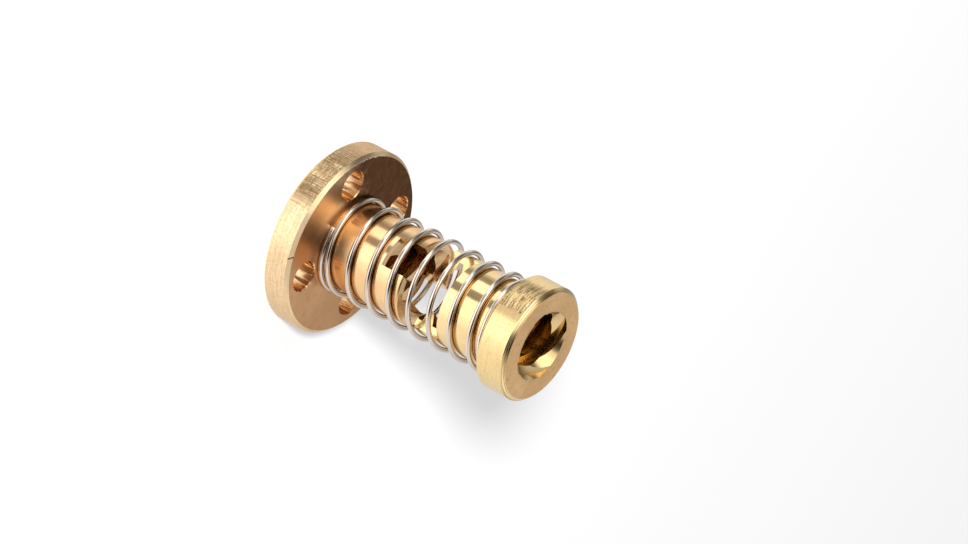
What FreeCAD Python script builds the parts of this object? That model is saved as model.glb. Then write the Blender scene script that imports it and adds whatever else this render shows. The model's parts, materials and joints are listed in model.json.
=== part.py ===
import FreeCAD, Part

# Spring-loaded anti-backlash nut for a four-start trapezoidal lead screw, Tr8x8 (P2).
# Three loose pieces on one axis: the flanged nut, a compression spring and the collar nut.
# Frame: +Z runs along the screw axis from the flange to the collar. z = 0 is the flange's mounting
# face and the origin is on the axis. The tongues of the collar nut lie along X.

import os

import Sketcher

doc = FreeCAD.newDocument("lead_screw_nut")
sheet = doc.addObject("Spreadsheet::Sheet", "dims")

# Every size in mm and every angle in degrees, written once here and read through expressions.
SIZES = [
    # flanged nut
    ("flange_diameter", 22.0, "outer diameter of the flange"),
    ("flange_thickness", 3.5, "flange thickness"),
    ("flange_chamfer", 0.4, "edge break on both rims of the flange"),
    ("sleeve_diameter", 10.2, "outer diameter of both sleeves"),
    ("sleeve_chamfer", 0.15, "edge break on the free ends of the sleeves"),
    ("flanged_nut_length", 14.3, "mounting face to the free end of its sleeve"),
    ("bolt_circle", 16.0, "pitch circle of the screw holes"),
    ("bolt_hole", 3.5, "screw hole diameter, clears M3"),
    ("bolt_hole_chamfer", 0.12, "edge break on the screw holes"),
    ("bolt_count", 4, "screw holes"),
    ("bolt_angle", 45.0, "first screw hole from X"),
    ("slot_depth", 3.25, "length of the cross slot in the sleeve"),
    ("slot_angle", 72.0, "cross slot from X, as the collar nut happens to stand"),
    # collar nut
    ("collar_diameter", 13.6, "outer diameter of the collar"),
    ("collar_thickness", 3.8, "collar thickness"),
    ("collar_chamfer", 0.45, "edge break on the collar's front rim"),
    ("collar_back_chamfer", 0.15, "edge break on the collar's back rim"),
    ("collar_sleeve_length", 6.9, "collar's back face to the end of its sleeve"),
    ("tongue_width", 3.9, "width of the two tongues"),
    ("tongue_clearance", 0.05, "each side between a tongue and its slot"),
    ("tongue_length", 3.5, "how far the tongues stand out of the sleeve"),
    # screw thread, both nuts
    ("screw_lead", 8.0, "advance in one turn"),
    ("screw_starts", 4, "thread starts"),
    ("thread_minor", 6.0, "internal thread, crest diameter"),
    ("thread_major", 8.5, "internal thread, root diameter"),
    ("groove_floor", 0.60, "width of the groove at the root"),
    ("flank_angle", 15.0, "half of the 30 degree profile"),
    ("mouth_diameter", 8.2, "countersink at the mouths of both bores"),
    ("run_over", 1.0, "how far the cutters run past the ends"),
    # spring
    ("wire_diameter", 0.6, "spring wire"),
    ("spring_clearance", 0.15, "radial gap between sleeve and spring"),
    ("spring_length", 23.4, "installed length of the spring"),
    ("spring_start", 83.0, "cut end of the wire on the flange, from X"),
    ("seat_turns", 0.65, "flat part of the coil on the flange"),
    ("seat_ramp", 0.35, "turns in which the pitch sets in"),
    ("working_turns", 7.05, "turns at full pitch"),
    ("cap_ramp", 1.30, "turns in which the pitch runs out"),
    ("cap_turns", 0.65, "flat part of the coil on the collar"),
]
size = {alias: value for alias, value, note in SIZES}
for row, (alias, value, note) in enumerate(SIZES, start=1):
    sheet.set("A%d" % row, alias)
    sheet.set("B%d" % row, str(value))
    sheet.set("C%d" % row, note)
    sheet.setAlias("B%d" % row, alias)

# Sizes that follow from the ones above.
DERIVED = [
    ("slot_width", "=tongue_width + 2 * tongue_clearance"),
    ("collar_seat", "=flange_thickness + spring_length"),
    ("spring_mean_radius", "=sleeve_diameter / 2 + spring_clearance + wire_diameter / 2"),
    ("root_half_angle", "=groove_floor / 2 / screw_lead * 360"),
    ("crest_half_angle",
     "=root_half_angle + (thread_major - thread_minor) / 2 * tan(flank_angle) / screw_lead * 360"),
    ("mean_half_angle", "=(root_half_angle + crest_half_angle) / 2"),
    ("flank_slope", "=screw_lead / (2 * pi * tan(flank_angle))"),
    ("thread_mean_radius", "=(thread_major + thread_minor) / 4"),
    ("flank_radius",
     "=(thread_mean_radius^2 + flank_slope^2)^1.5 / (thread_mean_radius^2 + 2 * flank_slope^2)"),
    ("full_pitch", "=(spring_length - wire_diameter) / (working_turns + (seat_ramp + cap_ramp) / 2)"),
]
for row, (alias, formula) in enumerate(DERIVED, start=len(SIZES) + 2):
    sheet.set("A%d" % row, alias)
    sheet.set("B%d" % row, formula)
    sheet.setAlias("B%d" % row, alias)
doc.recompute()


def now(formula):
    """What an expression comes to with the present sizes."""
    return float(sheet.evalExpression(formula))


def datum(body, role):
    """The body's own origin plane or axis with that role."""
    for feature in body.Origin.OriginFeatures:
        if feature.Role == role:
            return feature
    raise ValueError("%s has no %s" % (body.Label, role))


def new_body(name, lift=None):
    """A sub-part whose Label is its node name, lifted along the axis by an expression."""
    body = doc.addObject("PartDesign::Body", name)
    body.Label = name
    if lift:
        body.setExpression(".Placement.Base.z", lift)
    return body


def sketch_on(body, name, role, turn=None, lift=None):
    """An empty sketch on an origin plane, turned about Z and lifted along Z by expressions."""
    sketch = body.newObject("Sketcher::SketchObject", name)
    sketch.AttachmentSupport = [(datum(body, role), "")]
    sketch.MapMode = "FlatFace"
    if turn:
        axis = FreeCAD.Vector(0, 0, 1) if role == "XY_Plane" else FreeCAD.Vector(0, 1, 0)
        turned = FreeCAD.Rotation(axis, now(turn))
        sketch.AttachmentOffset = FreeCAD.Placement(FreeCAD.Vector(0, 0, 0), turned)
        sketch.setExpression(".AttachmentOffset.Rotation.Angle", turn)
    if lift:
        sketch.setExpression(".AttachmentOffset.Base.z", lift)
    return sketch


def bind(sketch, kind, refs, formula, name):
    """One driving dimension, named and bound to the sheet."""
    index = sketch.addConstraint(Sketcher.Constraint(kind, *refs, now(formula)))
    sketch.renameConstraint(index, name)
    sketch.setExpression("Constraints." + name, formula)


def place(sketch, geometry, point, x, y, name):
    """A point of the sketch held where two expressions say, seen from the sketch's origin."""
    bind(sketch, "DistanceX", (-1, 1, geometry, point), x, name + "_x")
    bind(sketch, "DistanceY", (-1, 1, geometry, point), y, name + "_y")


def circle(sketch, diameter, x="0", y="0"):
    """A circle with its diameter and centre given by expressions."""
    centre = FreeCAD.Vector(now(x), now(y), 0)
    sketch.addGeometry(Part.Circle(centre, FreeCAD.Vector(0, 0, 1), now(diameter) / 2), False)
    bind(sketch, "Diameter", (0,), diameter, "width")
    place(sketch, 0, 3, x, y, "centre")


def polygon(sketch, corners):
    """A closed outline. A corner is two expressions for where it is. Where the side after it is an
    arc, a point that the arc runs through and the arc's radius follow."""
    points = [FreeCAD.Vector(now(corner[0]), now(corner[1]), 0) for corner in corners]
    count = len(corners)
    for index, corner in enumerate(corners):
        here = points[index]
        there = points[(index + 1) % count]
        if len(corner) > 2:
            through = FreeCAD.Vector(now(corner[2]), now(corner[3]), 0)
            sketch.addGeometry(Part.Arc(here, through, there), False)
        else:
            sketch.addGeometry(Part.LineSegment(here, there), False)
    for index in range(count):
        sketch.addConstraint(Sketcher.Constraint("Coincident", index, 2, (index + 1) % count, 1))
    for index, corner in enumerate(corners):
        place(sketch, index, 1, corner[0], corner[1], "corner%d" % index)
        if len(corner) > 2:
            bind(sketch, "Radius", (index,), corner[4], "bend%d" % index)


def pad(body, name, sketch, length, down=False):
    """Material from the sketch plane, up the axis or down it."""
    feature = body.newObject("PartDesign::Pad", name)
    feature.Profile = sketch
    feature.Reversed = down
    feature.setExpression("Length", length)
    body.Tip = feature
    doc.recompute()
    return feature


def pocket(body, name, sketch, length):
    """A cut from the sketch plane up the axis. The volume must fall."""
    before = body.Shape.Volume
    feature = body.newObject("PartDesign::Pocket", name)
    feature.Profile = sketch
    feature.Reversed = True
    feature.setExpression("Length", length)
    body.Tip = feature
    doc.recompute()
    if not body.Shape.Volume < before:
        raise ValueError("%s cuts nothing" % name)
    return feature


def rims(feature, radius, height):
    """The names of a feature's full circles of that radius at that height."""
    found = []
    for index, edge in enumerate(feature.Shape.Edges, start=1):
        curve = edge.Curve
        if not isinstance(curve, Part.Circle):
            continue
        if abs(curve.Radius - radius) < 1e-4 and abs(curve.Center.z - height) < 1e-4:
            found.append("Edge%d" % index)
    if not found:
        raise ValueError("no rim of radius %.3f at %.3f" % (radius, height))
    return found


def chamfer(body, name, base, edges, size):
    """An edge break of that size on the named edges."""
    feature = body.newObject("PartDesign::Chamfer", name)
    feature.Base = (base, edges)
    feature.setExpression("Size", size)
    body.Tip = feature
    doc.recompute()
    return feature


def polar(body, name, original, count):
    """Equal copies of one cut round the axis."""
    feature = body.newObject("PartDesign::PolarPattern", name)
    feature.Originals = [original]
    feature.Axis = (datum(body, "Z_Axis"), [""])
    feature.Angle = 360
    body.Tip = feature
    feature.setExpression("Occurrences", count)
    doc.recompute()
    return feature


def thread_section(sketch):
    """The threaded bore cut square to the axis: a flank, a root, a flank and a crest for each start."""
    corners = []
    for start in range(int(sheet.screw_starts)):

        def point(radius, offset):
            angle = "(%d * 360 / dims.screw_starts %s)" % (start, offset)
            return "%s * cos%s" % (radius, angle), "%s * sin%s" % (radius, angle)

        crest_before = point("dims.thread_minor / 2", "- dims.crest_half_angle")
        flank_before = point("dims.thread_mean_radius", "- dims.mean_half_angle")
        root_before = point("dims.thread_major / 2", "- dims.root_half_angle")
        root_middle = point("dims.thread_major / 2", "")
        root_after = point("dims.thread_major / 2", "+ dims.root_half_angle")
        flank_after = point("dims.thread_mean_radius", "+ dims.mean_half_angle")
        crest_after = point("dims.thread_minor / 2", "+ dims.crest_half_angle")
        crest_middle = point("dims.thread_minor / 2", "+ 180 / dims.screw_starts")
        corners += [
            crest_before + flank_before + ("dims.flank_radius",),
            root_before + root_middle + ("dims.thread_major / 2",),
            root_after + flank_after + ("dims.flank_radius",),
            crest_after + crest_middle + ("dims.thread_minor / 2",),
        ]
    polygon(sketch, corners)


def cut_thread(body, name, bottom, length):
    """Bore and thread in one cut: the section above, turned once in every lead as it climbs."""
    before = body.Shape.Volume
    foot = "%s - dims.run_over" % bottom
    reach = "%s + 2 * dims.run_over" % length
    section = sketch_on(body, name + "_section", "XY_Plane", lift=foot)
    thread_section(section)
    path = sketch_on(body, name + "_path", "XZ_Plane")
    low = FreeCAD.Vector(0, now(foot), 0)
    path.addGeometry(Part.LineSegment(low, low + FreeCAD.Vector(0, now(reach), 0)), False)
    path.addConstraint(Sketcher.Constraint("Vertical", 0))
    place(path, 0, 1, "0", foot, "foot")
    bind(path, "DistanceY", (0, 1, 0, 2), reach, "reach")
    guide = doc.addObject("Part::Helix", name + "_guide")
    guide.setExpression("Pitch", "dims.screw_lead")
    guide.setExpression("Height", reach)
    guide.setExpression("Radius", "dims.thread_mean_radius")
    guide.setExpression(".Placement.Base.z", foot)
    doc.recompute()
    thread = body.newObject("PartDesign::SubtractivePipe", name)
    thread.Profile = section
    thread.Spine = (path, ["Edge1"])
    thread.Mode = "Auxiliary"
    thread.AuxiliarySpine = (guide, ["Edge1"])
    thread.AuxiliaryCurvilinear = True
    body.Tip = thread
    doc.recompute()
    if not body.Shape.Volume < before:
        raise ValueError("%s cuts nothing" % name)


def countersink(body, name, height, mouth_up):
    """A 45 degree mouth on the axis, open upwards or downwards."""
    before = body.Shape.Volume
    sketch = sketch_on(body, name + "_outline", "XZ_Plane")
    inwards = "-" if mouth_up else "+"
    polygon(sketch, [
        ("0", "%s %s dims.mouth_diameter / 2" % (height, inwards)),
        ("dims.mouth_diameter / 2", height),
        ("0", height),
    ])
    feature = body.newObject("PartDesign::Groove", name)
    feature.Profile = sketch
    feature.ReferenceAxis = (datum(body, "Z_Axis"), [""])
    feature.Angle = 360
    body.Tip = feature
    doc.recompute()
    if not body.Shape.Volume < before:
        raise ValueError("%s cuts nothing" % name)


# ---- flanged nut: turned flange and sleeve, drilled, slotted across and threaded ----
flanged_nut = new_body("flanged_nut")

flange_outline = sketch_on(flanged_nut, "flange_outline", "XY_Plane")
circle(flange_outline, "dims.flange_diameter")
flange = pad(flanged_nut, "flange", flange_outline, "dims.flange_thickness")
flange_rims = rims(flange, size["flange_diameter"] / 2, 0.0)
flange_rims += rims(flange, size["flange_diameter"] / 2, size["flange_thickness"])
chamfer(flanged_nut, "flange_edges", flange, flange_rims, "dims.flange_chamfer")

sleeve_outline = sketch_on(flanged_nut, "sleeve_outline", "XY_Plane")
circle(sleeve_outline, "dims.sleeve_diameter")
sleeve = pad(flanged_nut, "sleeve", sleeve_outline, "dims.flanged_nut_length")
sleeve_rims = rims(sleeve, size["sleeve_diameter"] / 2, size["flanged_nut_length"])
chamfer(flanged_nut, "sleeve_edge", sleeve, sleeve_rims, "dims.sleeve_chamfer")

countersink(flanged_nut, "front_mouth", "0", mouth_up=False)
countersink(flanged_nut, "inner_mouth", "dims.flanged_nut_length", mouth_up=True)

hole_outline = sketch_on(flanged_nut, "screw_hole_outline", "XY_Plane", turn="dims.bolt_angle")
circle(hole_outline, "dims.bolt_hole", x="dims.bolt_circle / 2")
screw_hole = pocket(flanged_nut, "screw_hole", hole_outline, "dims.flange_thickness")
screw_holes = polar(flanged_nut, "screw_holes", screw_hole, "dims.bolt_count")
hole_rims = rims(screw_holes, size["bolt_hole"] / 2, 0.0)
hole_rims += rims(screw_holes, size["bolt_hole"] / 2, size["flange_thickness"])
chamfer(flanged_nut, "screw_hole_edges", screw_holes, hole_rims, "dims.bolt_hole_chamfer")

cut_thread(flanged_nut, "flanged_nut_thread", "0", "dims.flanged_nut_length")

slot_outline = sketch_on(
    flanged_nut, "slot_outline", "XY_Plane",
    turn="dims.slot_angle", lift="dims.flanged_nut_length - dims.slot_depth",
)
polygon(slot_outline, [
    ("0 - dims.sleeve_diameter", "0 - dims.slot_width / 2"),
    ("dims.sleeve_diameter", "0 - dims.slot_width / 2"),
    ("dims.sleeve_diameter", "dims.slot_width / 2"),
    ("0 - dims.sleeve_diameter", "dims.slot_width / 2"),
])
pocket(flanged_nut, "cross_slot", slot_outline, "dims.slot_depth")

# ---- spring: closed and unground at both ends, the pitch sets in and runs out by degrees ----
spring = new_body("spring", "dims.flange_thickness")


def wire_section(name, turns, rise):
    """The wire's section, so many turns on from the cut end and so far up."""
    sketch = sketch_on(spring, name, "XZ_Plane", turn="mod(dims.spring_start + 360 * (%s); 360)" % turns)
    circle(sketch, "dims.wire_diameter", x="dims.spring_mean_radius", y="dims.wire_diameter / 2 + %s" % rise)
    return sketch


def flat_coil(name, turns_before, rise, turns):
    """A stretch of coil with no pitch."""
    feature = spring.newObject("PartDesign::Revolution", name)
    feature.Profile = wire_section(name + "_wire", turns_before, rise)
    feature.ReferenceAxis = (datum(spring, "Z_Axis"), [""])
    feature.setExpression("Angle", "360 * %s" % turns)
    spring.Tip = feature
    doc.recompute()


def rising_coil(name, turns_before, rise, turns, pitch):
    """A stretch of coil that climbs at one pitch."""
    feature = spring.newObject("PartDesign::AdditiveHelix", name)
    feature.Profile = wire_section(name + "_wire", turns_before, rise)
    feature.ReferenceAxis = (datum(spring, "Z_Axis"), [""])
    feature.Mode = 1
    feature.setExpression("Pitch", pitch)
    feature.setExpression("Turns", turns)
    spring.Tip = feature
    doc.recompute()


after_seat = "dims.seat_turns"
after_seat_ramp = after_seat + " + dims.seat_ramp"
after_working = after_seat_ramp + " + dims.working_turns"
after_cap_ramp = after_working + " + dims.cap_ramp"
rise_seat_ramp = "dims.full_pitch * dims.seat_ramp / 2"
rise_working = rise_seat_ramp + " + dims.full_pitch * dims.working_turns"
rise_cap_ramp = rise_working + " + dims.full_pitch * dims.cap_ramp / 2"

flat_coil("seat_coil", "0", "0", "dims.seat_turns")
rising_coil("seat_ramp_coil", after_seat, "0", "dims.seat_ramp", "dims.full_pitch / 2")
rising_coil("working_coils", after_seat_ramp, rise_seat_ramp, "dims.working_turns", "dims.full_pitch")
rising_coil("cap_ramp_coil", after_working, rise_working, "dims.cap_ramp", "dims.full_pitch / 2")
flat_coil("cap_coil", after_cap_ramp, rise_cap_ramp, "dims.cap_turns")

# ---- collar nut: its own z = 0 is the face that the spring pushes on ----
collar_nut = new_body("collar_nut", "dims.collar_seat")

collar_outline = sketch_on(collar_nut, "collar_outline", "XY_Plane")
circle(collar_outline, "dims.collar_diameter")
collar = pad(collar_nut, "collar", collar_outline, "dims.collar_thickness")
front_rim = rims(collar, size["collar_diameter"] / 2, size["collar_thickness"])
collar_front = chamfer(collar_nut, "collar_front_edge", collar, front_rim, "dims.collar_chamfer")
back_rim = rims(collar_front, size["collar_diameter"] / 2, 0.0)
chamfer(collar_nut, "collar_back_edge", collar_front, back_rim, "dims.collar_back_chamfer")

barrel_outline = sketch_on(collar_nut, "barrel_outline", "XY_Plane")
circle(barrel_outline, "dims.sleeve_diameter")
barrel = pad(
    collar_nut, "barrel", barrel_outline,
    "dims.collar_sleeve_length + dims.tongue_length", down=True,
)
barrel_end = size["collar_sleeve_length"] + size["tongue_length"]
barrel_rims = rims(barrel, size["sleeve_diameter"] / 2, -barrel_end)
chamfer(collar_nut, "barrel_edge", barrel, barrel_rims, "dims.sleeve_chamfer")

countersink(collar_nut, "collar_mouth", "dims.collar_thickness", mouth_up=True)

cut_thread(
    collar_nut, "collar_nut_thread",
    "(0 - dims.collar_sleeve_length - dims.tongue_length)",
    "dims.collar_thickness + dims.collar_sleeve_length + dims.tongue_length",
)

# What is milled away on both sides leaves the two tongues.
side_sketch = sketch_on(
    collar_nut, "tongue_side_outline", "XY_Plane",
    lift="0 - dims.collar_sleeve_length - dims.tongue_length",
)
polygon(side_sketch, [
    ("0 - dims.sleeve_diameter", "dims.tongue_width / 2"),
    ("dims.sleeve_diameter", "dims.tongue_width / 2"),
    ("dims.sleeve_diameter", "dims.sleeve_diameter"),
    ("0 - dims.sleeve_diameter", "dims.sleeve_diameter"),
])
tongue_side = pocket(collar_nut, "tongue_side", side_sketch, "dims.tongue_length")
other_side = collar_nut.newObject("PartDesign::Mirrored", "other_tongue_side")
other_side.Originals = [tongue_side]
other_side.MirrorPlane = (datum(collar_nut, "XZ_Plane"), [""])
collar_nut.Tip = other_side

doc.recompute()
for item in doc.Objects:
    if "Invalid" in item.State or "Error" in item.State:
        raise ValueError("%s is not computed: %s" % (item.Label, item.State))
os.makedirs("parts", exist_ok=True)
for body in (flanged_nut, spring, collar_nut):
    shape = body.Shape
    if shape.isNull() or not shape.isValid() or len(shape.Solids) != 1:
        raise ValueError("%s is not one valid solid" % body.Label)
    shape.exportStep("parts/%s.step" % body.Label)
    print(body.Label, round(shape.Volume, 3), shape.BoundBox)
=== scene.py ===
import json
import math

import bpy
from mathutils import Matrix, Vector

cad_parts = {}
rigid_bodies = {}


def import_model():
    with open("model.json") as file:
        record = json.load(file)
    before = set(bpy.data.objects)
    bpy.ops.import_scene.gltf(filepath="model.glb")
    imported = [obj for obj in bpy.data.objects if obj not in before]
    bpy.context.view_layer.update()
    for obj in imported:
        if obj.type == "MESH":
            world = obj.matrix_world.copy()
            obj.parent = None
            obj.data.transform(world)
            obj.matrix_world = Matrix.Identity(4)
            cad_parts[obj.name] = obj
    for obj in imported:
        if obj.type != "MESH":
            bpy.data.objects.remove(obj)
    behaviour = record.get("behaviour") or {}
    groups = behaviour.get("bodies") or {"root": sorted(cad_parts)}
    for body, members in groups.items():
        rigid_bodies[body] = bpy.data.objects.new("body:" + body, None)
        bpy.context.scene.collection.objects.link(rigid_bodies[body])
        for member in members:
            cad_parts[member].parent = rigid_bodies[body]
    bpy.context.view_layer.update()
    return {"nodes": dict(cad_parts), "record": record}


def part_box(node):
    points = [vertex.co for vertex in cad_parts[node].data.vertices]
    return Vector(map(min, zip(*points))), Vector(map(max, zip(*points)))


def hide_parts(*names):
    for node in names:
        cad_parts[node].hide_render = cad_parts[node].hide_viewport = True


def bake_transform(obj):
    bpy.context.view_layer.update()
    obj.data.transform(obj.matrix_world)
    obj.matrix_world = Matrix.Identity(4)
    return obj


for leftover in list(bpy.data.objects):
    bpy.data.objects.remove(leftover)
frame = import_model()
scene = bpy.context.scene
nodes = frame["nodes"]
MM = 0.001

flange_low, flange_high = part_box("flanged_nut")
spring_low, spring_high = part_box("spring")
_, collar_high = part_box("collar_nut")
bolts = next(m for m in frame["record"]["mounts"] if m["name"] == "flange_bolts")

# Radii and chamfers of the two nuts in mm, which the boxes don't tell. A wall whose radius is in the
# zone counts as the sleeve's.
SLEEVE = 5.1
SLEEVE_ZONE = (4.9, 5.4)
THREAD_ROOT = 4.25
FLANGE_CHAMFER = 0.4
COLLAR_CHAMFER = 0.45


# ---------------------------------------------------------------- node helpers
class Tree:
    """Short calls for building one node tree."""

    def __init__(self, tree):
        self.tree = tree
        self.tree.nodes.clear()

    def add(self, kind, inputs=None, **settings):
        made = self.tree.nodes.new(kind)
        for name, value in settings.items():
            setattr(made, name, value)
        for key, value in (inputs or {}).items():
            self.give(made.inputs[key], value)
        return made

    def give(self, socket, value):
        if isinstance(value, bpy.types.NodeSocket):
            self.tree.links.new(value, socket)
        elif value is not None:
            socket.default_value = value

    def math(self, operation, a, b=None):
        made = self.add("ShaderNodeMath", operation=operation)
        for index, value in enumerate((a, b)):
            self.give(made.inputs[index], value)
        return made.outputs[0]

    def times(self, first, *others):
        for other in others:
            first = self.math("MULTIPLY", first, other)
        return first

    def plus(self, a, b):
        return self.math("ADD", a, b)

    def minus(self, a, b):
        return self.math("SUBTRACT", a, b)

    def highest(self, a, b):
        return self.math("MAXIMUM", a, b)

    def size_of(self, value):
        return self.math("ABSOLUTE", value)

    def other_than(self, mask):
        return self.minus(1.0, mask)

    def step(self, value, low, high, out_low=0.0, out_high=1.0):
        """Smooth step of a value from low to high."""
        made = self.add("ShaderNodeMapRange", interpolation_type="SMOOTHSTEP")
        for index, given in enumerate((value, low, high, out_low, out_high)):
            self.give(made.inputs[index], given)
        return made.outputs[0]

    def fall(self, value, low, high):
        """1 below low and 0 above high."""
        return self.step(value, low, high, 1.0, 0.0)

    def band(self, value, low, high, soft):
        """1 between low and high, with soft edges."""
        return self.times(self.step(value, low - soft, low + soft),
                          self.fall(value, high - soft, high + soft))

    def vector(self, x, y, z):
        made = self.add("ShaderNodeCombineXYZ")
        for index, value in enumerate((x, y, z)):
            self.give(made.inputs[index], value)
        return made.outputs[0]

    def noise(self, at, scale, detail, rough):
        made = self.add("ShaderNodeTexNoise", {"Vector": at, "Scale": scale, "Detail": detail,
                                               "Roughness": rough})
        return made.outputs[0]

    def mix(self, factor, a, b):
        """Colour a, and b where the factor is 1."""
        made = self.add("ShaderNodeMix", data_type="RGBA")
        for index, value in ((0, factor), (6, a), (7, b)):
            self.give(made.inputs[index], value)
        return made.outputs[2]

    def blend(self, factor, a, b):
        """Number a, and b where the factor is 1."""
        made = self.add("ShaderNodeMix", data_type="FLOAT")
        for index, value in ((0, factor), (2, a), (3, b)):
            self.give(made.inputs[index], value)
        return made.outputs[0]

    def ramp(self, value, stops):
        made = self.add("ShaderNodeValToRGB", {"Fac": value})
        made.color_ramp.interpolation = "EASE"
        elements = made.color_ramp.elements
        while len(elements) < len(stops):
            elements.new(0.5)
        for element, (position, colour) in zip(elements, stops):
            element.position = position
            element.color = colour
        return made.outputs[0]


def tone(r, g, b):
    return (r, g, b, 1.0)


WHITE = tone(1.0, 1.0, 1.0)

# ---------------------------------------------------------------- camera
camera = bpy.data.objects.new("camera", bpy.data.cameras.new("camera"))
scene.collection.objects.link(camera)
AIM = Vector((4.14, 0.03, 20.02)) * MM
DISTANCE = 598.2 * MM
AZIMUTH = math.radians(-179.54)
ELEVATION = math.radians(28.74)
ROLL = math.radians(-118.01)
back = Vector((
    math.sin(AZIMUTH) * math.cos(ELEVATION),
    -math.cos(AZIMUTH) * math.cos(ELEVATION),
    math.sin(ELEVATION),
))
level_right = Vector((0, 0, 1)).cross(back).normalized()
level_up = back.cross(level_right)
up = level_up * math.cos(ROLL) + level_right * math.sin(ROLL)
right = up.cross(back)
facing = Matrix((right, up, back)).transposed().to_4x4()
camera.matrix_world = Matrix.Translation(AIM + back * DISTANCE) @ facing
camera.data.sensor_width = 36.0
camera.data.lens = 203.17
camera.data.clip_start = 0.01
camera.data.clip_end = 20.0
scene.camera = camera

# ---------------------------------------------------------------- world: a white studio with dark flags
# What a mirror would see round the axis, as degrees from X and brightness: well below the horizon, at
# it, above it, and half way up.
LOW = [
    (-180, 1.08), (-150, 0.96), (-120, 0.84), (-90, 0.66), (-62, 0.80), (-40, 0.98), (-20, 1.10),
    (-8, 0.62), (1, 0.36), (12, 0.44), (19, 1.75), (43, 1.75), (50, 0.40), (66, 0.36), (74, 1.85),
    (106, 1.85), (126, 1.50), (150, 1.18), (180, 1.08),
]
HORIZON = [
    (-180, 0.92), (-160, 0.86), (-144, 0.70), (-110, 0.70), (-90, 0.55), (-70, 0.44), (-50, 0.40),
    (-41, 0.85), (-33, 0.80), (-21, 0.50), (-10, 0.16), (0, 0.12), (12, 0.28), (20, 0.60), (27, 1.75),
    (40, 1.75), (47, 0.75), (53, 0.42), (70, 0.62), (90, 1.10), (108, 1.70), (127, 1.15), (146, 1.08),
    (165, 1.00), (180, 0.92),
]
MIDDLE = [
    (-180, 0.97), (-150, 0.96), (-132, 0.82), (-112, 0.62), (-90, 0.80), (-76, 0.38), (-66, 0.22),
    (-55, 0.36), (-46, 0.60), (-38, 0.60), (-29, 0.22), (-10, 0.13), (8, 0.20), (17, 0.60), (24, 1.75),
    (40, 1.75), (50, 1.20), (68, 0.62), (80, 0.30), (90, 0.02), (108, 0.01), (136, 0.01), (150, 0.66),
    (165, 0.92), (180, 0.97),
]
HIGH = [
    (-180, 0.95), (-157, 0.93), (-138, 0.90), (-120, 0.74), (-103, 0.48), (-80, 0.28), (-57, 0.24),
    (-24, 0.30), (-8, 0.40), (2, 0.95), (12, 1.90), (54, 1.90), (68, 1.45), (88, 1.15), (98, 0.50),
    (110, 0.12), (136, 0.03), (150, 0.16), (161, 0.62), (172, 0.90), (180, 0.95),
]
# Each of these takes over from the one before between two heights of a direction of length 1.
TAKES_OVER = ((-0.40, -0.16, HORIZON), (0.03, 0.16, MIDDLE), (0.53, 0.72, HIGH))
# Overhead and underfoot a single brightness takes over in the same way.
ENDS = ((0.93, 0.99, 0.75), (-0.66, -0.88, 1.45))
BRIGHTEST = 2.0
SOFT_LIGHT = 0.50


def studio(tree, share, levels):
    """The studio's brightness round the axis."""
    stops = []
    for angle, level in levels:
        stops.append(((angle + 180.0) / 360.0, tone(*[level / BRIGHTEST] * 3)))
    return tree.times(tree.ramp(share, stops), BRIGHTEST)


world = bpy.data.worlds.new("studio")
scene.world = world
world.use_nodes = True
w = Tree(world.node_tree)
ray = w.add("ShaderNodeLightPath").outputs
way = w.add("ShaderNodeSeparateXYZ", {0: w.add("ShaderNodeTexCoord").outputs["Generated"]}).outputs
share_round = w.plus(w.math("DIVIDE", w.math("ARCTAN2", way["Y"], way["X"]), 2 * math.pi), 0.5)
mirrored = studio(w, share_round, LOW)
for from_z, to_z, levels in TAKES_OVER:
    mirrored = w.blend(w.step(way["Z"], from_z, to_z), mirrored, studio(w, share_round, levels))
for from_z, to_z, level in ENDS:
    mirrored = w.blend(w.step(way["Z"], from_z, to_z), mirrored, level)
in_gloss = w.highest(ray["Is Glossy Ray"], ray["Is Transmission Ray"])
brightness = w.blend(in_gloss, SOFT_LIGHT, mirrored)
brightness = w.blend(ray["Is Camera Ray"], brightness, 1.0)
background = w.add("ShaderNodeBackground", {"Color": WHITE, "Strength": brightness})
w.add("ShaderNodeOutputWorld", {"Surface": background.outputs[0]})


# ---------------------------------------------------------------- lamps
def lamp(name, azimuth, elevation, distance, size, power):
    """A round lamp that shines on the nut, with its angles in degrees from X and from the floor."""
    data = bpy.data.lights.new(name, "AREA")
    data.shape = "DISK"
    data.size = size
    data.energy = power
    made = bpy.data.objects.new(name, data)
    scene.collection.objects.link(made)
    a, e = math.radians(azimuth), math.radians(elevation)
    way_out = Vector((math.cos(a) * math.cos(e), math.sin(a) * math.cos(e), math.sin(e)))
    made.location = AIM + way_out * distance
    made.rotation_mode = "QUATERNION"
    made.rotation_quaternion = way_out.to_track_quat("Z", "Y")
    made.visible_glossy = False


lamp("key", azimuth=84, elevation=29, distance=0.9, size=0.12, power=10.0)
lamp("fill", azimuth=20, elevation=50, distance=1.0, size=0.5, power=1.5)

# ---------------------------------------------------------------- floor: a square sheet of paper
# Half its side in metres, and how much of its own light a ray that looks at it sees.
HALF = 1.6
PAPER_GLOW = 0.25
floor_mesh = bpy.data.meshes.new("floor")
corners = ((-HALF, -HALF), (HALF, -HALF), (HALF, HALF), (-HALF, HALF))
floor_mesh.from_pydata([(x, y, flange_low.z) for x, y in corners], [], [(0, 1, 2, 3)])
floor = bpy.data.objects.new("floor", floor_mesh)
scene.collection.objects.link(floor)
paper = bpy.data.materials.new("paper")
paper.use_nodes = True
p = Tree(paper.node_tree)
path = p.add("ShaderNodeLightPath").outputs
matt = p.add("ShaderNodeBsdfDiffuse", {"Color": tone(0.93, 0.93, 0.94)})
glow = p.add("ShaderNodeEmission", {"Color": WHITE, "Strength": 1.0})
looked_at = p.highest(path["Is Camera Ray"], path["Is Glossy Ray"])
looked_at = p.highest(looked_at, path["Is Transmission Ray"])
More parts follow.
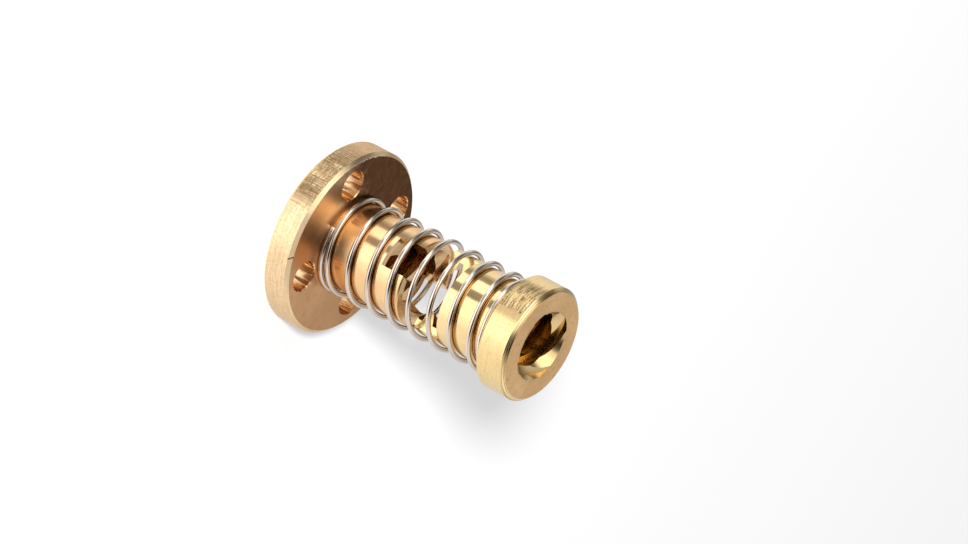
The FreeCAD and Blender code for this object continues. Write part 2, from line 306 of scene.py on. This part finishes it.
sheet = p.add("ShaderNodeMixShader",
              {0: p.times(looked_at, PAPER_GLOW), 1: matt.outputs[0], 2: glow.outputs[0]})
p.add("ShaderNodeOutputMaterial", {"Surface": sheet.outputs[0]})
floor_mesh.materials.append(paper)
floor.visible_glossy = False

# ---------------------------------------------------------------- spring, in mm
WIRE = 0.6
WIRE_EDGE = 0.05
COIL_RADIUS = 5.55
CUT_END = math.radians(83.0)
# How many turns from the cut end, and how much of the full pitch the coil has there.
PITCH_SHARE = (
    (0.0, 0.0), (0.58, 0.0), (0.72, 0.5), (0.93, 0.5), (1.07, 1.0),
    (7.95, 1.0), (8.15, 0.5), (9.25, 0.5), (9.45, 0.0), (10.0, 0.0),
)
FULL_PITCH_FROM, FULL_PITCH_TO = 1.0, 8.05
SIDES = 20
RINGS_A_TURN = 72


def pitch_share(turns):
    for (t0, s0), (t1, s1) in zip(PITCH_SHARE, PITCH_SHARE[1:]):
        if turns <= t1:
            return s0 + (s1 - s0) * (turns - t0) / (t1 - t0)
    return 0.0


ring_count = round(PITCH_SHARE[-1][0] * RINGS_A_TURN)
coil_turns = [i / RINGS_A_TURN for i in range(ring_count + 1)]
coil_rise = [0.0]
for before, after in zip(coil_turns, coil_turns[1:]):
    coil_rise.append(coil_rise[-1] + pitch_share((before + after) / 2) * (after - before))
pitch = ((spring_high.z - spring_low.z) / MM - WIRE) / coil_rise[-1]
bottom = spring_low.z / MM + WIRE / 2


def coil_stations():
    """Middle, way out, way along and radius of the wire at each ring, its cut ends edge-broken."""
    stations = []
    for turns, height in zip(coil_turns, coil_rise):
        angle = CUT_END + 2 * math.pi * turns
        slope = pitch * pitch_share(turns) / (2 * math.pi * COIL_RADIUS)
        out = Vector((math.cos(angle), math.sin(angle), 0))
        along = Vector((-math.sin(angle), math.cos(angle), slope)).normalized()
        middle = out * COIL_RADIUS + Vector((0, 0, bottom + height * pitch))
        stations.append((middle, out, along, WIRE / 2))
    for index, inwards in ((0, WIRE_EDGE), (-1, -WIRE_EDGE)):
        middle, out, along, radius = stations[index]
        tip = (middle, out, along, radius - WIRE_EDGE)
        stations[index] = (middle + along * inwards, out, along, radius)
        stations.insert(0 if index == 0 else len(stations), tip)
    return stations


def coil_mesh():
    """The wire as one closed tube. Its UV runs along and round the wire, in mm."""
    stations = coil_stations()
    points, faces, marks, runs = [], [], [], [0.0]
    for before, after in zip(stations, stations[1:]):
        runs.append(runs[-1] + (after[0] - before[0]).length)
    for middle, out, along, radius in stations:
        across = along.cross(out)
        for side in range(SIDES):
            turned = 2 * math.pi * side / SIDES
            radial = out * math.cos(turned) * radius
            crossing = across * math.sin(turned) * radius
            points.append((middle - radial + crossing) * MM)
    for index, (run, next_run) in enumerate(zip(runs, runs[1:])):
        here, there = index * SIDES, (index + 1) * SIDES
        for side in range(SIDES):
            following = (side + 1) % SIDES
            faces.append((here + side, here + following, there + following, there + side))
            v0, v1 = side * math.pi * WIRE / SIDES, (side + 1) * math.pi * WIRE / SIDES
            marks.append(((run, v0), (run, v1), (next_run, v1), (next_run, v0)))
    end = (len(stations) - 1) * SIDES
    faces.append(tuple(reversed(range(SIDES))))
    faces.append(tuple(range(end, end + SIDES)))
    marks.extend(((run, 0.0),) * SIDES for run in (0.0, runs[-1]))
    mesh = bpy.data.meshes.new("spring_wire")
    mesh.from_pydata(points, [], faces)
    layer = mesh.uv_layers.new(name="wire")
    corner = 0
    for face, uvs in zip(mesh.polygons, marks):
        face.use_smooth = len(face.vertices) == 4
        for uv in uvs:
            layer.data[corner].uv = uv
            corner += 1
    mesh.validate()
    return mesh


coil = bpy.data.objects.new("spring_wire", coil_mesh())
scene.collection.objects.link(coil)
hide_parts("spring")
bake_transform(coil)


# ---------------------------------------------------------------- metals
class Metal(Tree):
    """A bare metal. A mask is 1 where something is and 0 elsewhere."""

    def __init__(self, name):
        self.material = bpy.data.materials.new(name)
        self.material.use_nodes = True
        super().__init__(self.material.node_tree)
        self.shader = self.add("ShaderNodeBsdfPrincipled")
        self.shader.inputs["Metallic"].default_value = 1.0
        self.add("ShaderNodeOutputMaterial", {"Surface": self.shader.outputs[0]})

    def coat(self, colour, where, strength, paint):
        """The colour with some paint over it where the mask says."""
        return self.mix(self.times(where, strength), colour, paint)

    def roughness(self, base, terms, lowest):
        """A base value, with a share of each mask added."""
        for mask, share in terms:
            base = self.plus(base, self.times(mask, share))
        self.give(self.shader.inputs["Roughness"], self.highest(base, lowest))

    def relief(self, layers):
        """Chained bumps; each layer is a height between -1 and 1 and how deep it is in mm."""
        normal = None
        for height, depth in layers:
            normal = self.add("ShaderNodeBump", {"Height": height, "Strength": 1.0,
                                                 "Distance": depth * MM, "Normal": normal}).outputs[0]
        self.give(self.shader.inputs["Normal"], normal)


class Turned(Metal):
    """A turned piece: where a point of it lies, in mm, and the marks of a lathe and of handling."""

    def __init__(self, name):
        super().__init__(name)
        place = self.add("ShaderNodeTexCoord").outputs
        scaled = self.add("ShaderNodeVectorMath", {0: place["Object"]}, operation="SCALE")
        scaled.inputs["Scale"].default_value = 1 / MM
        self.mm = scaled.outputs[0]
        self.x, self.y, self.z = self.add("ShaderNodeSeparateXYZ", {0: self.mm}).outputs
        self.r = self.math("SQRT", self.plus(self.times(self.x, self.x), self.times(self.y, self.y)))
        self.turn = self.math("ARCTAN2", self.y, self.x)
        lean = self.size_of(self.add("ShaderNodeSeparateXYZ", {0: place["Normal"]}).outputs["Z"])
        self.flat = self.step(lean, 0.86, 0.97)
        slant = self.band(lean, 0.52, 0.84, 0.08)
        self.not_flat = self.other_than(self.flat)
        self.upright = self.other_than(self.highest(self.flat, slant))
        self.chamfered = self.times(slant, self.not_flat)
        self.in_bore = self.fall(self.r, THREAD_ROOT, THREAD_ROOT + 0.25)
        # Highlights stretch along the axis, across the lathe's lines.
        tangent = self.add("ShaderNodeTangent", direction_type="RADIAL", axis="Z")
        self.give(self.shader.inputs["Tangent"], tangent.outputs[0])
        self.shader.inputs["Anisotropic"].default_value = 0.45
        self.shader.inputs["Anisotropic Rotation"].default_value = 0.25

    def lines(self, across, along, height, detail, rough):
        """Noise that is so fine across the axis and so fine along it, at a given height."""
        at = self.vector(self.times(self.x, across), self.times(self.y, across),
                         self.times(height, along))
        return self.noise(at, 1.0, detail, rough)

    def rings(self, fineness, detail=3.0, slow=0.3):
        """Lines round the axis: lathe marks on a side, circles on a face."""
        return self.lines(slow, fineness, self.plus(self.z, self.times(self.r, 1.7)), detail, 0.6)

    def strokes(self, fineness, slow=0.7, detail=2.0):
        """Scratches that run along the axis."""
        return self.lines(fineness, slow, self.z, detail, 0.55)

    def dashes(self, fineness, slow, shift=0.0):
        """Short marks that run round the axis."""
        at = self.vector(self.times(self.x, slow), self.times(self.y, slow),
                         self.plus(self.times(self.z, fineness), shift))
        return self.noise(at, 1.0, 2.0, 0.55)

    def weave(self, lines_round, lines_a_mm):
        """Small marks where a tool's chatter, which runs along the axis, crosses its rings."""
        ragged = self.blotches(0.9, 2.0, 13.0)
        sway = self.times(self.minus(ragged, 0.5), 9.0)
        crossed = []
        for way_through, count in ((self.turn, lines_round), (self.z, 2 * math.pi * lines_a_mm)):
            wave = self.math("SINE", self.plus(self.times(way_through, count), sway))
            crossed.append(self.step(wave, -0.3, 0.8))
        return self.times(*crossed)

    def blotches(self, fineness, detail=3.0, shift=0.0):
        at = self.add("ShaderNodeVectorMath", {0: self.mm}, operation="ADD")
        at.inputs[1].default_value = (shift, shift * 0.7, shift * 1.3)
        return self.noise(at.outputs[0], fineness, detail, 0.55)

    def arc(self, low, high, soft):
        """1 on the part of the piece between two angles from X, in degrees."""
        return self.band(self.turn, math.radians(low), math.radians(high), math.radians(soft))

    def stretch(self, comes_in, goes_out):
        """1 on a part that comes in over the first pair of angles and goes out over the second."""
        return self.times(self.step(self.turn, *map(math.radians, comes_in)),
                          self.fall(self.turn, *map(math.radians, goes_out)))

    def reach(self, low, high, soft=0.05):
        """1 between two distances from the axis."""
        return self.band(self.r, low, high, soft)

    def coil_shadow_line(self, near, far):
        """1 on the line under the spring's wire, where a shadow is painted, 0 beyond so many mm from it
        along the axis.
        """
        middle = len(coil_rise) // 2
        start = bottom + pitch * (coil_rise[middle] - coil_turns[middle])
        # The coil climbs at half its pitch below the first of these heights and above the second.
        first, last = start + pitch * FULL_PITCH_FROM, start + pitch * FULL_PITCH_TO
        extra = self.plus(self.math("MINIMUM", self.minus(self.z, first), 0.0),
                          self.highest(self.minus(self.z, last), 0.0))
        climbed = self.math("DIVIDE", self.plus(self.minus(self.z, start), extra), pitch)
        lag = self.times(self.minus(self.turn, CUT_END), 0.5 / math.pi)
        away = self.math("FRACT", self.plus(self.minus(climbed, lag), 0.5))
        away = self.times(self.size_of(self.minus(away, 0.5)), pitch)
        return self.fall(away, near, far)

    def hatched(self, fine_rings, fine_strokes):
        """Where fine lines of both kinds cross."""
        return self.times(self.step(fine_rings, 0.53, 0.60), self.step(fine_strokes, 0.47, 0.58))


# ---------------------------------------------------------------- flanged nut: warmer brass
class FlangedNut(Turned):
    TOP = spring_low.z / MM
    RADIUS = flange_high.x / MM
    FACE_EDGE = RADIUS - FLANGE_CHAMFER
    BOLT_OFFSET = bolts["dims"]["pcd_mm"] / 2 * math.sqrt(0.5)
    HOLE = bolts["dims"]["hole_r_mm"]
    NICK = math.radians(114)

    def __init__(self):
        super().__init__("warm_brass_turned")
        squares = [self.math("POWER", self.minus(self.size_of(side), self.BOLT_OFFSET), 2.0)
                   for side in (self.x, self.y)]
        from_hole = self.math("SQRT", self.plus(*squares))
        self.in_hole = self.times(self.not_flat,
                                  self.fall(from_hole, self.HOLE + 0.1, self.HOLE + 0.3))
        self.on_rim = self.times(self.step(self.r, self.RADIUS - 0.6, self.RADIUS - 0.45),
                                 self.upright)
        self.on_face = self.times(self.flat, self.step(self.r, SLEEVE + 0.1, SLEEVE + 0.2))
        self.on_sleeve = self.times(self.not_flat, self.other_than(self.in_hole),
                                    self.reach(*SLEEVE_ZONE))
        self.lathe = self.rings(6.0)
        self.fine_lathe = self.rings(14.0, 1.0, 0.6)
        self.scratches = self.strokes(7.5, 0.9)
        self.cloud = self.blotches(0.22, 4.0)
        self.mottle = self.blotches(1.1, 4.0, 7.0)
        self.speck = self.step(self.blotches(4.2, 2.0, 3.0), 0.70, 0.76)
        self.rubbed = self.times(self.on_rim, self.stretch((24, 52), (76.5, 79.5)),
                                 self.step(self.mottle, 0.22, 0.50, 0.72, 1.0))
        self.dull = self.times(self.on_rim, self.stretch((-50, -10), (76.5, 80)))
        # A stretch of the chamfer painted lighter, a painted highlight, and made rougher.
        self.chamfer_painted_highlight = self.times(self.chamfered, self.arc(90, 130, 6),
                                    self.step(self.r, self.FACE_EDGE - 0.1, self.FACE_EDGE))

    def rim(self):
        """Pale, with a rubbed golden-brown stretch that ends in a sharp line, and painted glints in
        that stretch.
        """
        colour = self.mix(self.step(self.lathe, 0.42, 0.68),
                          tone(0.94, 0.69, 0.42), tone(0.82, 0.565, 0.31))
        colour = self.coat(colour, self.rubbed, 0.62, tone(0.62, 0.40, 0.175))
        bars = self.times(self.step(self.scratches, 0.50, 0.57),
                          self.step(self.fine_lathe, 0.36, 0.60, 0.6, 1.0))
        colour = self.coat(colour, bars, self.plus(0.10, self.times(self.rubbed, 0.42)),
                           tone(0.22, 0.13, 0.05))
        hatch = self.hatched(self.fine_lathe, self.strokes(11.0, 1.6, 1.0))
        colour = self.coat(colour, hatch, 0.25, tone(0.50, 0.33, 0.18))
        faded = self.times(self.on_rim, self.arc(78.5, 84.2, 0.4))
        colour = self.coat(colour, faded, 0.28, tone(0.70, 0.50, 0.27))
        long_lines = self.strokes(9.5, 0.30)
        strength = self.plus(self.times(self.rubbed, 0.46), self.times(faded, 0.40))
        colour = self.coat(colour, self.step(long_lines, 0.51, 0.56), strength,
                           tone(0.24, 0.14, 0.06))
        ends = self.highest(self.arc(79.6, 79.9, 0.15), self.arc(84.2, 84.5, 0.15))
        ends = self.times(ends, self.on_rim, self.step(self.fine_lathe, 0.36, 0.50))
        colour = self.coat(colour, ends, 0.8, tone(0.30, 0.18, 0.08))

        self.woven = self.times(self.weave(331.0, 4.3), self.on_rim,
                                self.step(self.blotches(2.6, 3.0, 9.0), 0.44, 0.58))
        self.scores = self.times(self.step(self.dashes(7.6, 1.15), 0.50, 0.59), self.rubbed)
        dark = self.highest(
            self.times(self.woven, self.minus(0.85, self.times(self.rubbed, 0.15))),
            self.times(self.scores, 0.50))
        colour = self.mix(dark, colour, self.mix(self.rubbed, tone(0.42, 0.26, 0.12),
                                                 tone(0.20, 0.11, 0.04)))
        # Bright dashes in the rubbed stretch: painted glints, also raised as bumps.
        self.painted_glint = self.times(self.rubbed, self.step(self.dashes(8.2, 1.3, 40.0), 0.50, 0.57),
                                self.step(long_lines, 0.52, 0.47))
        return self.coat(colour, self.painted_glint, 0.9, tone(1.0, 0.84, 0.55))

    def face(self):
        """A copper-brown film, darker towards -Y, with a painted dark reflection towards one side and a
        painted glow in one sector.
        """
        film = self.mix(self.step(self.cloud, 0.36, 0.62),
                        tone(0.74, 0.43, 0.22), tone(0.655, 0.365, 0.18))
        film = self.coat(film, self.step(self.mottle, 0.48, 0.72), 0.40, tone(0.56, 0.30, 0.14))
        film = self.coat(film, self.step(self.lathe, 0.50, 0.70), 0.15, tone(0.78, 0.50, 0.28))
        film = self.coat(film, self.step(self.y, 5.0, -7.0), 0.45, tone(0.55, 0.30, 0.145))
        # A dark patch towards one side of the face: painted dark reflection, mottled in two dark tones.
        painted_reflection_mottle = self.plus(self.times(self.blotches(4.5, 3.0, 17.0), 0.5),
                          self.times(self.mottle, 0.5))
        painted_dark_reflection = self.plus(self.minus(self.times(self.x, 0.80), self.times(self.y, 0.32)),
                         self.times(self.minus(self.mottle, 0.5), 3.2))
        painted_dark_reflection = self.times(self.step(painted_dark_reflection, -0.4, 5.0), self.step(self.z, 1.0, 3.0))
        dark = self.mix(self.step(painted_reflection_mottle, 0.40, 0.60),
                        tone(0.128, 0.050, 0.013), tone(0.082, 0.026, 0.005))
        film = self.mix(painted_dark_reflection, film, dark)
        # A paler sector of the face: painted glow of reflected light.
        painted_glow = self.times(self.arc(52, 92, 12), self.other_than(painted_dark_reflection))
        film = self.coat(film, painted_glow, 0.75, tone(0.97, 0.74, 0.48))
        return self.coat(film, self.speck, 0.7, tone(0.10, 0.055, 0.03))

    def dents(self, colour):
        """A burr on the face's edge and one nick in the chamfer with a lip, the burr and the lip
        lightened as a painted highlight.
        """
        # Bright dots along the face's edge: a burr raised as bumps, lightened as a painted highlight.
        self.burr_painted_highlight = self.times(
            self.reach(self.FACE_EDGE - 0.07, self.FACE_EDGE + 0.05, 0.03),
            self.arc(14, 52, 4),
            self.step(self.z, self.TOP - 0.3, self.TOP - 0.1),
            self.step(self.strokes(6.0, 1.0), 0.50, 0.55))
        across = self.plus(self.times(self.x, math.sin(self.NICK)),
                           self.times(self.y, -math.cos(self.NICK)))
        across = self.minus(across, self.times(self.minus(self.z, self.TOP), 0.8))
        near_side = self.step(self.y, 0.0, 1.0)
        self.nick = self.times(
            self.band(across, -0.12, 0.08, 0.03), near_side,
            self.step(self.r, self.RADIUS - 0.60, self.RADIUS - 0.54),
            self.step(self.z, self.TOP - 0.46, self.TOP - 0.40))
        # A bright strip beside the nick: painted highlight.
        lip_painted_highlight = self.times(
            self.band(across, 0.08, 0.17, 0.03), near_side,
            self.step(self.r, self.RADIUS - 0.62, self.RADIUS - 0.54),
            self.step(self.z, self.TOP - 0.3, self.TOP - 0.2))
        colour = self.mix(self.highest(self.burr_painted_highlight, lip_painted_highlight), colour, tone(1.0, 0.92, 0.74))
        return self.mix(self.nick, colour, tone(0.34, 0.20, 0.09))

    def sleeve(self):
        """Brown from heat and handling, turned fine, with a painted reflection of the flange's face
        warm next to it and a painted shadow under the coil.
        """
        brown = self.mix(self.step(self.cloud, 0.35, 0.65),
                         tone(0.91, 0.63, 0.345), tone(0.86, 0.56, 0.28))
        brown = self.coat(brown, self.step(self.mottle, 0.46, 0.66), 0.18, tone(0.72, 0.46, 0.22))
        brown = self.coat(brown, self.step(self.lathe, 0.52, 0.70), 0.30, tone(0.84, 0.60, 0.34))
        # Warmer next to the flange: painted reflection of the flange's face.
        brown = self.coat(brown, self.step(self.z, 11.0, 5.0), 0.75, tone(0.95, 0.55, 0.24))
        # A dark line under the wire: painted shadow of the coil.
        painted_coil_shadow = self.times(self.coil_shadow_line(0.10, 0.40), self.step(self.mottle, 0.25, 0.5, 0.6, 1.0))
        return self.coat(brown, painted_coil_shadow, 0.85, tone(0.16, 0.07, 0.02))

    def finish(self):
        colour = self.mix(self.on_face, self.rim(), self.face())
        # Lighten that stretch of the chamfer: painted highlight.
        colour = self.coat(colour, self.chamfer_painted_highlight, 0.9, tone(1.0, 0.82, 0.56))
        colour = self.dents(colour)
        colour = self.mix(self.on_sleeve, colour, self.sleeve())
        # The screw holes are bare copper-red, streaked by the drill.
        streaks = self.strokes(1.9, 0.3)
        drilled = self.mix(self.step(streaks, 0.44, 0.56),
                           tone(0.93, 0.65, 0.38), tone(0.38, 0.18, 0.07))
        colour = self.mix(self.in_hole, colour, drilled)
        colour = self.coat(colour, self.in_bore, 0.55, tone(0.62, 0.40, 0.19))
        self.give(self.shader.inputs["Base Color"], colour)
        self.roughness(0.20, [
            (self.minus(self.mottle, 0.5), 0.10),
            (self.on_rim, 0.10),
            (self.dull, 0.20),
            (self.on_face, 0.12),
            (self.chamfered, 0.08),
            (self.chamfer_painted_highlight, 0.45),
            (self.on_sleeve, self.step(self.z, 5.0, 10.0, 0.03, -0.03)),
            (self.in_hole, 0.06),
            (self.minus(self.fine_lathe, 0.5), 0.12),
        ], 0.08)
        self.relief([
            (self.times(self.lathe, self.plus(0.35, self.times(self.on_rim, 0.5))), 0.006),
            (self.times(self.scratches, self.plus(0.1, self.times(self.rubbed, 0.9))), 0.008),
            (self.times(self.woven, -1.0), 0.010),
            (self.minus(self.painted_glint, self.scores), 0.012),
            (self.times(streaks, self.in_hole), 0.02),
            (self.mottle, 0.005),
            (self.times(self.speck, -1.0), 0.010),
            (self.minus(self.burr_painted_highlight, self.nick), 0.04),
        ])
        self.shader.inputs["Specular Tint"].default_value = tone(1.0, 0.90, 0.80)
        return self.material


# ---------------------------------------------------------------- collar nut: yellower and newer
class CollarNut(Turned):
    RADIUS = collar_high.y / MM
    FACE = collar_high.z / MM
    SEAT = spring_high.z / MM

    def __init__(self):
        super().__init__("yellow_brass_turned")
        self.on_rim = self.times(self.step(self.r, self.RADIUS - 0.6, self.RADIUS - 0.5),
                                 self.upright)
        self.on_front = self.times(self.flat, self.step(self.z, self.FACE - 0.3, self.FACE - 0.1))
        self.on_barrel = self.times(self.not_flat, self.reach(*SLEEVE_ZONE),
                                    self.fall(self.z, self.SEAT - 0.1, self.SEAT))
        self.lathe = self.rings(6.0)
        self.fine_lathe = self.rings(13.0, 1.0, 0.6)
        self.scratches = self.strokes(6.5, 0.6)
        self.cloud = self.blotches(0.3, 4.0, 11.0)
        self.mottle = self.blotches(1.4, 4.0, 5.0)
        self.grain = self.blotches(7.0, 3.0, 1.0)
        self.pits = self.times(self.step(self.blotches(3.6, 2.0, 2.0), 0.665, 0.72),
                               self.plus(self.on_front, self.times(self.on_rim, 0.4)))
        self.rubbed = self.times(self.on_rim, self.stretch((31, 45), (72.5, 75)),
                                 self.step(self.mottle, 0.20, 0.48, 0.5, 1.0))

    def rim(self):
        """Golden, with a rubbed and scored stretch that carries painted glints."""
        colour = self.mix(self.step(self.lathe, 0.42, 0.70),
                          tone(0.92, 0.68, 0.335), tone(0.82, 0.575, 0.26))
        colour = self.coat(colour, self.rubbed, 0.35, tone(0.66, 0.46, 0.22))
        bars = self.times(self.step(self.scratches, 0.50, 0.57),
                          self.step(self.fine_lathe, 0.34, 0.58, 0.6, 1.0))
        colour = self.coat(colour, bars, self.plus(0.05, self.times(self.rubbed, 0.22)),
                           tone(0.24, 0.15, 0.05))
        self.scores = self.times(self.step(self.dashes(6.2, 0.55, 20.0), 0.49, 0.54), self.rubbed,
                                 self.step(self.scratches, 0.38, 0.54, 0.45, 1.0))
        colour = self.coat(colour, self.scores, 0.88, tone(0.24, 0.14, 0.05))
        # Bright dashes in the rubbed stretch: painted glints, also raised as bumps.
        self.painted_glint = self.times(self.rubbed, self.step(self.dashes(6.6, 0.7, 60.0), 0.53, 0.59),
                                self.step(self.scratches, 0.40, 0.52))
        colour = self.coat(colour, self.painted_glint, 0.8, tone(1.0, 0.85, 0.50))
        woven = self.times(self.weave(137.0, 3.1), self.on_rim,
                           self.step(self.blotches(1.5, 3.0, 9.0), 0.46, 0.60))
        return self.coat(colour, woven, 0.26, tone(0.55, 0.38, 0.18))

    def chamfer(self, colour):
        """Dark rings that the tool cut into the chamfered edge, and painted highlights on the rings
        between them.
        """
        edge = self.RADIUS - COLLAR_CHAMFER
        on_chamfer = self.times(self.chamfered, self.step(self.r, edge - 0.35, edge - 0.25))
        rings = self.rings(15.0, 1.0, 0.10)
        self.cuts = self.times(self.step(rings, 0.50, 0.56), on_chamfer)
        colour = self.coat(colour, self.cuts, 0.75, tone(0.42, 0.26, 0.09))
        # Bright rings between the cuts: painted highlights.
        return self.coat(colour, self.step(rings, 0.44, 0.38), self.times(on_chamfer, 0.6),
                         tone(1.0, 0.84, 0.52))

    def front(self):
        """Matt and grainy."""
        matt = self.mix(self.step(self.cloud, 0.36, 0.64),
                        tone(0.94, 0.60, 0.275), tone(0.82, 0.50, 0.215))
        matt = self.coat(matt, self.step(self.mottle, 0.46, 0.66), 0.30, tone(0.72, 0.43, 0.18))
        matt = self.coat(matt, self.step(self.grain, 0.44, 0.60), 0.36, tone(0.60, 0.36, 0.15))
        return self.coat(matt, self.step(self.lathe, 0.50, 0.70), 0.22, tone(0.98, 0.72, 0.42))

    def barrel(self):
        """Polished, with a painted shadow on the line under the spring's wire."""
        polished = self.mix(self.step(self.cloud, 0.36, 0.64),
                            tone(0.90, 0.665, 0.34), tone(0.84, 0.59, 0.28))
        # A dark line under the wire: painted shadow of the coil.
        painted_coil_shadow = self.times(self.coil_shadow_line(0.08, 0.36), self.step(self.mottle, 0.30, 0.55, 0.4, 1.0))
        return self.coat(polished, painted_coil_shadow, 0.62, tone(0.20, 0.11, 0.03))

    def finish(self):
        colour = self.chamfer(self.rim())
        hatch = self.times(self.hatched(self.fine_lathe, self.strokes(10.0, 1.4, 1.0)), self.on_rim)
        colour = self.coat(colour, hatch, 0.36, tone(0.52, 0.36, 0.17))
        colour = self.mix(self.on_front, colour, self.front())
        colour = self.mix(self.on_barrel, colour, self.barrel())
        colour = self.coat(colour, self.in_bore, 0.5, tone(0.66, 0.46, 0.20))
        colour = self.coat(colour, self.pits, 0.8, tone(0.16, 0.09, 0.04))
        self.give(self.shader.inputs["Base Color"], colour)
        sheen = self.times(self.on_rim, self.arc(69, 81, 3))
        self.roughness(0.17, [
            (self.minus(self.mottle, 0.5), 0.08),
            (self.on_rim, 0.09),
            (self.highest(self.times(self.rubbed, 0.9), sheen), 0.20),
            (self.on_front, 0.14),
            (self.on_barrel, -0.07),
            (self.minus(self.fine_lathe, 0.5), 0.08),
        ], 0.06)
        self.relief([
            (self.times(self.lathe, self.plus(0.12, self.times(self.on_rim, 0.6))), 0.006),
            (self.times(self.scratches, self.plus(0.05, self.times(self.rubbed, 0.9))), 0.006),
            (self.times(self.grain, self.on_front), 0.010),
            (self.minus(self.painted_glint, self.scores), 0.010),
            (self.times(self.cuts, -1.0), 0.010),
            (self.times(self.pits, -1.0), 0.012),
            (self.mottle, 0.006),
        ])
        return self.material


# ---------------------------------------------------------------- spring: drawn and polished steel
def drawn_steel():
    """Steel wire with the lengthwise lines of the die it was drawn through."""
    steel = Metal("spring_wire_drawn")
    uv_map = steel.add("ShaderNodeUVMap", uv_map="wire").outputs[0]
    along, around, _ = steel.add("ShaderNodeSeparateXYZ", {0: uv_map}).outputs
    die_at = steel.vector(steel.times(along, 0.22), steel.times(around, 9.0), 0.0)
    die = steel.noise(die_at, 1.0, 3.0, 0.6)
    patch = steel.noise(steel.vector(steel.times(along, 0.5), around, 4.0), 1.0, 3.0, 0.5)
    colour = steel.mix(steel.step(die, 0.38, 0.64), tone(0.84, 0.74, 0.65), tone(0.64, 0.55, 0.47))
    colour = steel.coat(colour, steel.step(patch, 0.45, 0.70), 0.4, tone(0.66, 0.57, 0.485))
    steel.give(steel.shader.inputs["Base Color"], colour)
    steel.roughness(0.02, [(steel.minus(die, 0.4), 0.08)], 0.01)
    steel.relief([(die, 0.0007), (patch, 0.003)])
    return steel.material


nodes["flanged_nut"].data.materials[0] = FlangedNut().finish()
nodes["collar_nut"].data.materials[0] = CollarNut().finish()
coil.data.materials.append(drawn_steel())

scene.view_settings.view_transform = "Standard"
